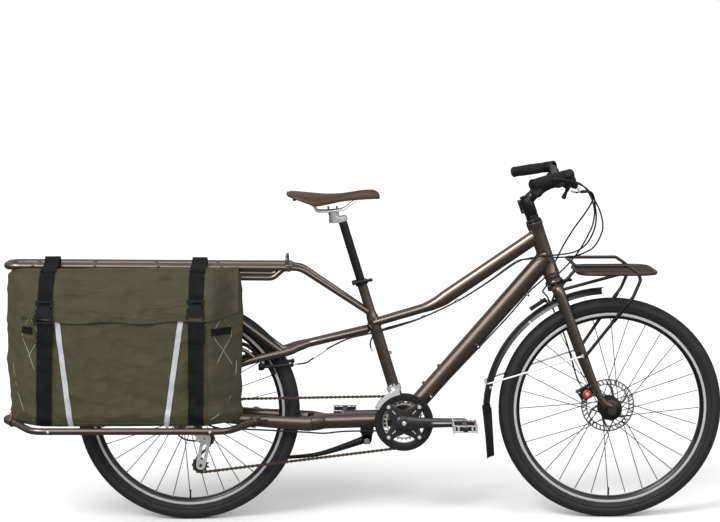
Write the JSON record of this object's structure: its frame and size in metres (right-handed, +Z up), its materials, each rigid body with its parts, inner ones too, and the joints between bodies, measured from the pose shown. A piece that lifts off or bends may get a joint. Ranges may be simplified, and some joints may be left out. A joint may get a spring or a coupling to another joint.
{
  "type": "longtail cargo bicycle",
  "caption": "Longtail cargo bicycle with a swept bar, a front carrier on the fork, a long rear carrier with a side loader, a folded stand and a canvas pannier.",
  "frame": {"origin": "on the ground under the middle of the bicycle, on its centre plane", "axes": "+X ahead, +Y to the left of the rider, +Z up"},
  "size_m": [2.1119, 0.6536, 1.0461],
  "materials": {
    "frame_paint": "satin metallic bronze brown",
    "carrier_paint": "satin brown",
    "black_metal": "satin black",
    "black_plastic": "matt black",
    "bright_metal": "polished and brushed",
    "steel": "brushed",
    "dark_metal": "dark grey anodised",
    "tyre_rubber": "matt dark grey with a reflective ring",
    "grip_rubber": "matt dark grey",
    "saddle_leather": "smooth brown",
    "bag_canvas": "waxed olive green",
    "bag_webbing": "black webbing"
  },
  "bodies": {
    "frame": {"main_frame": "frame_paint", "lower_stays": "frame_paint", "upper_stays": "frame_paint", "rear_carrier": "frame_paint", "side_loader": "frame_paint", "headset_upper": "black_metal", "headset_lower": "frame_paint", "seat_collar": "black_metal", "chain": "steel", "front_derailleur": "bright_metal", "rear_derailleur": "bright_metal", "derailleur_cage": "bright_metal", "kickstand_bracket": "black_metal", "pannier_bag": "bag_canvas", "bag_strap_rear": "bag_webbing", "bag_strap_front": "bag_webbing", "rear_axle": "steel", "rear_shift_cable": "black_plastic", "rear_brake_cable": "black_plastic", "front_shift_cable": "black_plastic"},
    "seat": {"seatpost": "black_metal", "saddle_wire": "steel", "saddle": "saddle_leather"},
    "collar_lever": {"seat_collar_lever": "black_metal"},
    "crankset": {"crank_right": "dark_metal", "chainrings": "bright_metal", "chain_guard": "black_plastic", "crank_left": "dark_metal"},
    "right_pedal": {"pedal_right": "bright_metal"},
    "left_pedal": {"pedal_left": "bright_metal"},
    "rear_wheel": {"rear_tyre": "tyre_rubber", "rear_rim": "black_metal", "rear_hub": "black_metal"},
    "sprockets": {"cassette": "steel"},
    "guide_wheel": {"guide_jockey": "black_plastic"},
    "tension_wheel": {"tension_jockey": "black_plastic"},
    "rear_brake_right": {"brake_arm_right": "bright_metal"},
    "rear_brake_left": {"brake_arm_left": "bright_metal"},
    "stand": {"kickstand_leg": "black_metal"},
    "steering": {"fork": "frame_paint", "front_mudguard": "black_plastic", "mudguard_wire": "bright_metal", "front_carrier": "carrier_paint", "stem": "black_metal", "handlebar": "black_metal", "grip_right": "grip_rubber", "grip_left": "grip_rubber", "brake_hood_right": "black_plastic", "brake_hood_left": "black_plastic", "front_caliper": "black_metal", "front_axle": "steel", "front_brake_cable": "black_plastic"},
    "lever_right": {"brake_lever_right": "dark_metal"},
    "lever_left": {"brake_lever_left": "dark_metal"},
    "paddle_right": {"shift_paddle_right": "black_plastic"},
    "paddle_left": {"shift_paddle_left": "black_plastic"},
    "front_wheel": {"front_tyre": "tyre_rubber", "front_rim": "black_metal", "front_hub": "black_metal", "front_brake_disc": "bright_metal"}
  },
  "joints": [
    {"name": "steering_turn", "type": "hinge", "parent": "frame", "child": "steering", "pos_m": [0.69149, 0, 0.31812], "axis": [-0.3256, 0, 0.9455], "range_deg": [-45, 45], "deforming": ["rear_shift_cable", "rear_brake_cable", "front_shift_cable"]},
    {"name": "front_wheel_spin", "type": "hinge", "parent": "steering", "child": "front_wheel", "pos_m": [0.726, 0, 0.33], "axis": [0, 1, 0], "continuous": true},
    {"name": "rear_wheel_spin", "type": "hinge", "parent": "frame", "child": "rear_wheel", "pos_m": [-0.524, 0, 0.33], "axis": [0, 1, 0], "continuous": true},
    {"name": "crank_spin", "type": "hinge", "parent": "frame", "child": "crankset", "pos_m": [0.114, 0, 0.3], "axis": [0, 1, 0], "continuous": true},
    {"name": "pedal_right_spin", "type": "hinge", "parent": "crankset", "child": "right_pedal", "pos_m": [0.289, -0.1245, 0.3], "axis": [0, 1, 0], "continuous": true},
    {"name": "pedal_left_spin", "type": "hinge", "parent": "crankset", "child": "left_pedal", "pos_m": [-0.061, 0.1245, 0.3], "axis": [0, 1, 0], "continuous": true},
    {"name": "cassette_spin", "type": "hinge", "parent": "frame", "child": "sprockets", "pos_m": [-0.524, 0, 0.33], "axis": [0, 1, 0], "continuous": true},
    {"name": "guide_jockey_spin", "type": "hinge", "parent": "frame", "child": "guide_wheel", "pos_m": [-0.46988, -0.048, 0.2541], "axis": [0, 1, 0], "continuous": true},
    {"name": "tension_jockey_spin", "type": "hinge", "parent": "frame", "child": "tension_wheel", "pos_m": [-0.48704, -0.048, 0.17292], "axis": [0, 1, 0], "continuous": true},
    {"name": "seat_height", "type": "slide", "parent": "frame", "child": "seat", "axis": [-0.289, 0, 0.9573], "range_m": [-0.1, 0.05]},
    {"name": "collar_lever_turn", "type": "hinge", "parent": "frame", "child": "collar_lever", "pos_m": [-0.034, -0.0225, 0.706], "axis": [-0.289, 0, 0.9573], "range_deg": [-120, 0]},
    {"name": "stand_turn", "type": "hinge", "parent": "frame", "child": "stand", "pos_m": [0.005, 0.039, 0.237], "axis": [0, 1, 0], "range_deg": [-107, 0]},
    {"name": "lever_right_pull", "type": "hinge", "parent": "steering", "child": "lever_right", "pos_m": [0.59268, -0.21996, 1.003], "axis": [0.2131, -0.4408, -0.8719], "range_deg": [0, 4], "stiffness_Nm_per_rad": 0.8, "springref_deg": -11.46},
    {"name": "lever_left_pull", "type": "hinge", "parent": "steering", "child": "lever_left", "pos_m": [0.59268, 0.21996, 1.003], "axis": [-0.2131, -0.4408, 0.8719], "range_deg": [0, 4], "stiffness_Nm_per_rad": 0.8, "springref_deg": -11.46},
    {"name": "paddle_right_press", "type": "hinge", "parent": "steering", "child": "paddle_right", "pos_m": [0.56928, -0.19656, 0.9874], "axis": [0, 0.6178, -0.7863], "range_deg": [0, 6], "stiffness_Nm_per_rad": 0.4, "springref_deg": -11.46},
    {"name": "paddle_left_press", "type": "hinge", "parent": "steering", "child": "paddle_left", "pos_m": [0.56928, 0.19656, 0.9874], "axis": [0, 0.6178, 0.7863], "range_deg": [0, 6], "stiffness_Nm_per_rad": 0.4, "springref_deg": -11.46},
    {"name": "brake_arm_right_close", "type": "hinge", "parent": "frame", "child": "rear_brake_right", "pos_m": [-0.30488, -0.0396, 0.46398], "axis": [-0.0646, 0, 0.9979], "range_deg": [0, 1.6]},
    {"name": "brake_arm_left_close", "type": "hinge", "parent": "frame", "child": "rear_brake_left", "pos_m": [-0.30488, 0.0396, 0.46398], "axis": [0.0646, 0, -0.9979], "range_deg": [0, 1.6]}
  ],
  "couplings": [
    {"joint": "cassette_spin", "follows": "crank_spin", "ratio": 2},
    {"joint": "guide_jockey_spin", "follows": "crank_spin", "ratio": -3.4545},
    {"joint": "tension_jockey_spin", "follows": "crank_spin", "ratio": 3.4545},
    {"joint": "brake_arm_right_close", "follows": "lever_right_pull", "ratio": 0.4},
    {"joint": "brake_arm_left_close", "follows": "lever_right_pull", "ratio": 0.4}
  ]
}
